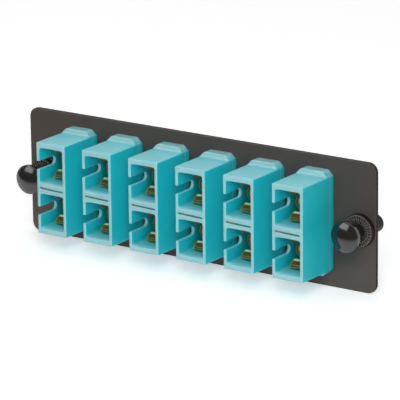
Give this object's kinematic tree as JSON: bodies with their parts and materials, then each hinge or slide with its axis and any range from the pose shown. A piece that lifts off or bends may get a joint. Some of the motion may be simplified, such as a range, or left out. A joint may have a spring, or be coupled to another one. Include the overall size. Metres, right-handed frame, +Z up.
{
  "type": "fibre adapter panel",
  "caption": "Flat sheet-metal panel with a row of upright duplex push-pull fibre adapters and a pull-out plunger fastener near each end.",
  "frame": {"origin": "centre of the plate's rear face, which seats against the enclosure", "axes": "+X along the plate to the right as seen from the front, +Y towards the enclosure, away from the viewer, +Z up"},
  "size_m": [0.1102, 0.0262, 0.0348],
  "materials": {
    "plate_paint": "satin warm-grey black powder coat",
    "aqua_housing": "satin moulded",
    "amber_latch": "translucent amber, smooth",
    "sleeve_ceramic": "ground white",
    "clip_steel": "rolled strip",
    "grommet_nylon": "moulded black",
    "plunger_nylon": "glossy moulded black"
  },
  "bodies": {
    "panel": {"panel_plate": "plate_paint", "adapter_1_front_housing": "aqua_housing", "adapter_1_rear_housing": "aqua_housing", "adapter_1_spring_clip": "clip_steel", "adapter_1_upper_front_latch": "amber_latch", "adapter_1_upper_rear_latch": "amber_latch", "adapter_1_upper_sleeve": "sleeve_ceramic", "adapter_1_lower_front_latch": "amber_latch", "adapter_1_lower_rear_latch": "amber_latch", "adapter_1_lower_sleeve": "sleeve_ceramic", "adapter_2_front_housing": "aqua_housing", "adapter_2_rear_housing": "aqua_housing", "adapter_2_spring_clip": "clip_steel", "adapter_2_upper_front_latch": "amber_latch", "adapter_2_upper_rear_latch": "amber_latch", "adapter_2_upper_sleeve": "sleeve_ceramic", "adapter_2_lower_front_latch": "amber_latch", "adapter_2_lower_rear_latch": "amber_latch", "adapter_2_lower_sleeve": "sleeve_ceramic", "adapter_3_front_housing": "aqua_housing", "adapter_3_rear_housing": "aqua_housing", "adapter_3_spring_clip": "clip_steel", "adapter_3_upper_front_latch": "amber_latch", "adapter_3_upper_rear_latch": "amber_latch", "adapter_3_upper_sleeve": "sleeve_ceramic", "adapter_3_lower_front_latch": "amber_latch", "adapter_3_lower_rear_latch": "amber_latch", "adapter_3_lower_sleeve": "sleeve_ceramic", "adapter_4_front_housing": "aqua_housing", "adapter_4_rear_housing": "aqua_housing", "adapter_4_spring_clip": "clip_steel", "adapter_4_upper_front_latch": "amber_latch", "adapter_4_upper_rear_latch": "amber_latch", "adapter_4_upper_sleeve": "sleeve_ceramic", "adapter_4_lower_front_latch": "amber_latch", "adapter_4_lower_rear_latch": "amber_latch", "adapter_4_lower_sleeve": "sleeve_ceramic", "adapter_5_front_housing": "aqua_housing", "adapter_5_rear_housing": "aqua_housing", "adapter_5_spring_clip": "clip_steel", "adapter_5_upper_front_latch": "amber_latch", "adapter_5_upper_rear_latch": "amber_latch", "adapter_5_upper_sleeve": "sleeve_ceramic", "adapter_5_lower_front_latch": "amber_latch", "adapter_5_lower_rear_latch": "amber_latch", "adapter_5_lower_sleeve": "sleeve_ceramic", "adapter_6_front_housing": "aqua_housing", "adapter_6_rear_housing": "aqua_housing", "adapter_6_spring_clip": "clip_steel", "adapter_6_upper_front_latch": "amber_latch", "adapter_6_upper_rear_latch": "amber_latch", "adapter_6_upper_sleeve": "sleeve_ceramic", "adapter_6_lower_front_latch": "amber_latch", "adapter_6_lower_rear_latch": "amber_latch", "adapter_6_lower_sleeve": "sleeve_ceramic", "left_grommet": "grommet_nylon", "right_grommet": "grommet_nylon"},
    "left_plunger_body": {"left_plunger": "plunger_nylon"},
    "right_plunger_body": {"right_plunger": "plunger_nylon"}
  },
  "joints": [
    {"name": "left_plunger_pull", "type": "slide", "parent": "panel", "child": "left_plunger_body", "axis": [0, -1, 0], "range_m": [0, 0.0045]},
    {"name": "right_plunger_pull", "type": "slide", "parent": "panel", "child": "right_plunger_body", "axis": [0, -1, 0], "range_m": [0, 0.0045]}
  ]
}
